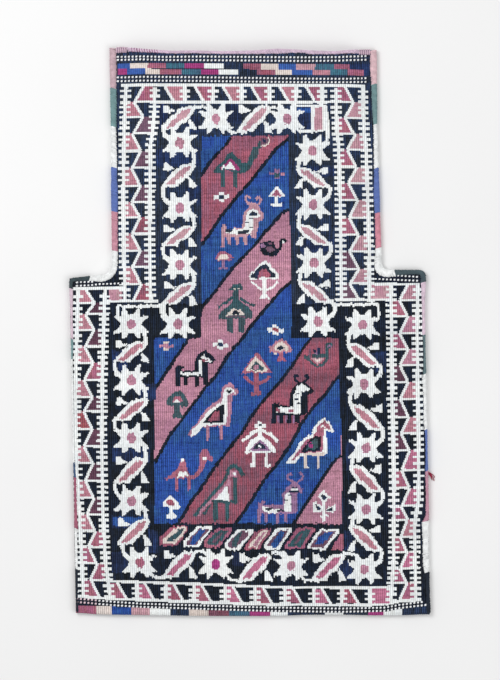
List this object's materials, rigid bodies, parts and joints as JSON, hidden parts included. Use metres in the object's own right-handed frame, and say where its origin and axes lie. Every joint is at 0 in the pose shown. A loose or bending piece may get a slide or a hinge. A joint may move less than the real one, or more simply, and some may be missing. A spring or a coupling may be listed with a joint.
{
  "type": "salt bag",
  "caption": "Flat-woven wool salt bag with a narrow open neck over a wide body, its sides closed by overcast edges in coloured yarns.",
  "frame": {"origin": "middle of the bag's footprint, on the surface that it lies on", "axes": "+Y up the neck to the mouth, +X to the right as one looks at the patterned front, +Z out through the front"},
  "size_m": [0.3694, 0.5678, 0.0155],
  "materials": {
    "cloth": "matte",
    "pink_wool": "matte",
    "green_wool": "matte",
    "ivory_wool": "matte",
    "blue_wool": "matte",
    "rose_wool": "matte",
    "night_wool": "matte",
    "mouth_wool": "matte",
    "red_wool": "matte"
  },
  "bodies": {
    "root": {"bag_cloth": "cloth", "binding_left_body_1_pink": "pink_wool", "binding_left_body_2_green": "green_wool", "binding_left_body_3_ivory": "ivory_wool", "binding_left_body_4_blue": "blue_wool", "binding_left_body_5_rose": "rose_wool", "binding_left_body_6_ivory": "ivory_wool", "binding_left_body_7_night": "night_wool", "binding_left_neck_1_pink": "pink_wool", "binding_left_neck_2_green": "green_wool", "binding_left_neck_3_ivory": "ivory_wool", "binding_left_neck_4_blue": "blue_wool", "binding_left_neck_5_rose": "rose_wool", "binding_left_neck_6_ivory": "ivory_wool", "binding_left_shoulder_1_green": "green_wool", "binding_right_body_1_pink": "pink_wool", "binding_right_body_2_green": "green_wool", "binding_right_body_3_ivory": "ivory_wool", "binding_right_body_4_blue": "blue_wool", "binding_right_body_5_rose": "rose_wool", "binding_right_body_6_ivory": "ivory_wool", "binding_right_body_7_night": "night_wool", "binding_right_neck_1_pink": "pink_wool", "binding_right_neck_2_green": "green_wool", "binding_right_neck_3_ivory": "ivory_wool", "binding_right_neck_4_blue": "blue_wool", "binding_right_neck_5_rose": "rose_wool", "binding_right_neck_6_ivory": "ivory_wool", "binding_right_shoulder_1_green": "green_wool", "mouth_binding_back": "mouth_wool", "mouth_binding_front": "mouth_wool", "mouth_tack_left": "mouth_wool", "mouth_tack_right": "mouth_wool", "yarn_tuft_red": "red_wool"}
  },
  "joints": []
}
